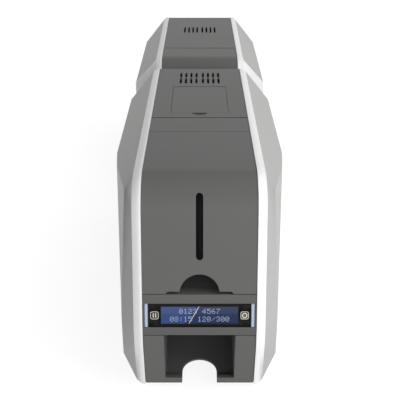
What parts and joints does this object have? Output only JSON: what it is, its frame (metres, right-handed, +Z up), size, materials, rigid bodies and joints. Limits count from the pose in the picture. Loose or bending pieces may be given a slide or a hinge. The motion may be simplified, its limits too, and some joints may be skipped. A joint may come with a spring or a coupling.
{
  "type": "id card printer with laminating module",
  "caption": "Desktop plastic card printer with a docked laminator behind it: hinged covers, front display bar with keys, card hopper, output tray, rollers, ribbon and fan.",
  "frame": {"origin": "centre of the bounding box in plan, on the desk under the feet", "axes": "+X to the viewer's right in the front view; +Y towards the back; +Z up; the front faces -Y"},
  "size_m": [0.175, 0.6915, 0.2008],
  "materials": {
    "dark_plastic": "fine-grained satin",
    "silver_plastic": "silver satin",
    "white_plastic": "smooth white",
    "black_plastic": "matte",
    "rubber": "matte",
    "window": "gloss",
    "gloss_panel": "gloss",
    "lcd": "gloss",
    "light": "satin, translucent look",
    "key": "gloss",
    "frame_steel": "zinc plated",
    "weight": "satin",
    "roller_rubber": "matte",
    "cleaning_rubber": "satin",
    "printhead": "satin",
    "cassette": "smooth",
    "spool": "matte",
    "ribbon": "gloss film",
    "motor": "satin",
    "pulley": "satin",
    "belt": "matte",
    "board": "satin",
    "heat_roller": "satin",
    "film": "gloss film",
    "supply_case": "folded sheet",
    "socket_steel": "plated"
  },
  "bodies": {
    "housing": {"output_tray": "dark_plastic", "printer_base": "black_plastic", "rubber_feet": "rubber", "printer_side_left": "silver_plastic", "printer_side_right": "silver_plastic", "printer_band_left": "white_plastic", "printer_band_right": "white_plastic", "printer_rear_cover": "dark_plastic", "display_bezel": "dark_plastic", "display_panel": "gloss_panel", "lcd_screen": "lcd", "light_bars": "light", "side_frame_left": "frame_steel", "side_frame_right": "frame_steel", "card_hopper": "black_plastic", "ribbon_cassette": "cassette", "ribbon_film": "ribbon", "drive_motor": "motor", "drive_belt": "belt", "main_board": "board", "fan_frame": "black_plastic", "laminator_base": "black_plastic", "laminator_side_left": "silver_plastic", "laminator_side_right": "silver_plastic", "laminator_band_left": "white_plastic", "laminator_band_right": "white_plastic", "laminator_front_panel": "dark_plastic", "laminator_rear_cover": "dark_plastic", "laminator_frames": "frame_steel", "laminator_motor": "motor", "power_supply": "supply_case", "power_inlet": "black_plastic", "data_ports": "socket_steel"},
    "cover": {"top_cover": "dark_plastic", "card_window": "window"},
    "hatch": {"service_hatch": "dark_plastic"},
    "pause": {"pause_key": "key"},
    "cancel": {"cancel_key": "key"},
    "card_press": {"card_weight": "weight"},
    "pick": {"pick_roller": "roller_rubber"},
    "cleaning": {"cleaning_roller": "cleaning_rubber"},
    "platen": {"platen_roller": "roller_rubber"},
    "transport_front": {"transport_roller_1": "roller_rubber"},
    "transport_rear": {"transport_roller_2": "roller_rubber"},
    "printhead": {"printhead_carrier": "frame_steel", "thermal_printhead": "printhead"},
    "supply": {"supply_spool": "spool", "supply_ribbon": "ribbon"},
    "takeup": {"takeup_spool": "spool", "takeup_ribbon": "ribbon"},
    "motor_shaft": {"motor_pulley": "pulley"},
    "fan": {"fan_rotor": "black_plastic"},
    "laminator_lid": {"laminator_cover": "dark_plastic"},
    "heat": {"heat_roller": "heat_roller"},
    "pressure": {"pressure_roller": "roller_rubber"},
    "film_supply": {"film_supply_roll": "film"},
    "film_takeup": {"film_takeup_roll": "film"},
    "exit": {"exit_roller": "roller_rubber"},
    "mains_rocker": {"power_switch": "black_plastic"}
  },
  "joints": [
    {"name": "cover_hinge", "type": "hinge", "parent": "housing", "child": "cover", "pos_m": [0, -0.1528, 0.1975], "axis": [-1, 0, 0], "range_deg": [0, 85]},
    {"name": "hatch_hinge", "type": "hinge", "parent": "housing", "child": "hatch", "pos_m": [0, -0.0423, 0.198], "axis": [-1, 0, 0], "range_deg": [0, 90]},
    {"name": "laminator_lid_hinge", "type": "hinge", "parent": "housing", "child": "laminator_lid", "pos_m": [0, 0.1392, 0.1975], "axis": [-1, 0, 0], "range_deg": [0, 75]},
    {"name": "pause_key_press", "type": "slide", "parent": "housing", "child": "pause", "axis": [0, 0.9724, -0.2334], "range_m": [0, 0.0006], "stiffness_N_per_m": 500, "springref_m": -0.001},
    {"name": "cancel_key_press", "type": "slide", "parent": "housing", "child": "cancel", "axis": [0, 0.9724, -0.2334], "range_m": [0, 0.0006], "stiffness_N_per_m": 500, "springref_m": -0.001},
    {"name": "card_weight_lift", "type": "slide", "parent": "housing", "child": "card_press", "axis": [0, 0, 1], "range_m": [0, 0.05]},
    {"name": "pick_spin", "type": "hinge", "parent": "housing", "child": "pick", "pos_m": [0, -0.279, 0.106], "axis": [1, 0, 0], "continuous": true},
    {"name": "cleaning_spin", "type": "hinge", "parent": "housing", "child": "cleaning", "pos_m": [0, -0.215, 0.106], "axis": [1, 0, 0], "continuous": true},
    {"name": "platen_spin", "type": "hinge", "parent": "housing", "child": "platen", "pos_m": [0, -0.187, 0.104], "axis": [1, 0, 0], "continuous": true},
    {"name": "transport_front_spin", "type": "hinge", "parent": "housing", "child": "transport_front", "pos_m": [0, -0.123, 0.106], "axis": [1, 0, 0], "continuous": true},
    {"name": "transport_rear_spin", "type": "hinge", "parent": "housing", "child": "transport_rear", "pos_m": [0, -0.055, 0.106], "axis": [1, 0, 0], "continuous": true},
    {"name": "printhead_lift", "type": "hinge", "parent": "housing", "child": "printhead", "pos_m": [0, -0.141, 0.124], "axis": [-1, 0, 0], "range_deg": [0, 3]},
    {"name": "supply_spin", "type": "hinge", "parent": "housing", "child": "supply", "pos_m": [0, -0.209, 0.156], "axis": [1, 0, 0], "continuous": true},
    {"name": "takeup_spin", "type": "hinge", "parent": "housing", "child": "takeup", "pos_m": [0, -0.163, 0.156], "axis": [1, 0, 0], "continuous": true},
    {"name": "motor_spin", "type": "hinge", "parent": "housing", "child": "motor_shaft", "pos_m": [0, -0.089, 0.064], "axis": [1, 0, 0], "continuous": true},
    {"name": "fan_spin", "type": "hinge", "parent": "housing", "child": "fan", "pos_m": [0, -0.00575, 0.188], "axis": [0, 0, 1], "continuous": true},
    {"name": "heat_spin", "type": "hinge", "parent": "housing", "child": "heat", "pos_m": [0, 0.111, 0.1239], "axis": [1, 0, 0], "continuous": true},
    {"name": "pressure_spin", "type": "hinge", "parent": "housing", "child": "pressure", "pos_m": [0, 0.111, 0.103], "axis": [1, 0, 0], "continuous": true},
    {"name": "film_supply_spin", "type": "hinge", "parent": "housing", "child": "film_supply", "pos_m": [0, 0.091, 0.168], "axis": [1, 0, 0], "continuous": true},
    {"name": "film_takeup_spin", "type": "hinge", "parent": "housing", "child": "film_takeup", "pos_m": [0, 0.131, 0.168], "axis": [1, 0, 0], "continuous": true},
    {"name": "exit_spin", "type": "hinge", "parent": "housing", "child": "exit", "pos_m": [0, 0.189, 0.106], "axis": [1, 0, 0], "continuous": true},
    {"name": "mains_rocker_tip", "type": "hinge", "parent": "housing", "child": "mains_rocker", "pos_m": [-0.022, 0.3388, 0.03], "axis": [1, 0, 0], "range_deg": [0, 16]}
  ],
  "couplings": [
    {"joint": "transport_front_spin", "follows": "platen_spin", "ratio": 1.3333},
    {"joint": "transport_rear_spin", "follows": "platen_spin", "ratio": 1.3333},
    {"joint": "motor_spin", "follows": "platen_spin", "ratio": 2.1333},
    {"joint": "pressure_spin", "follows": "heat_spin", "ratio": -1.2222}
  ]
}
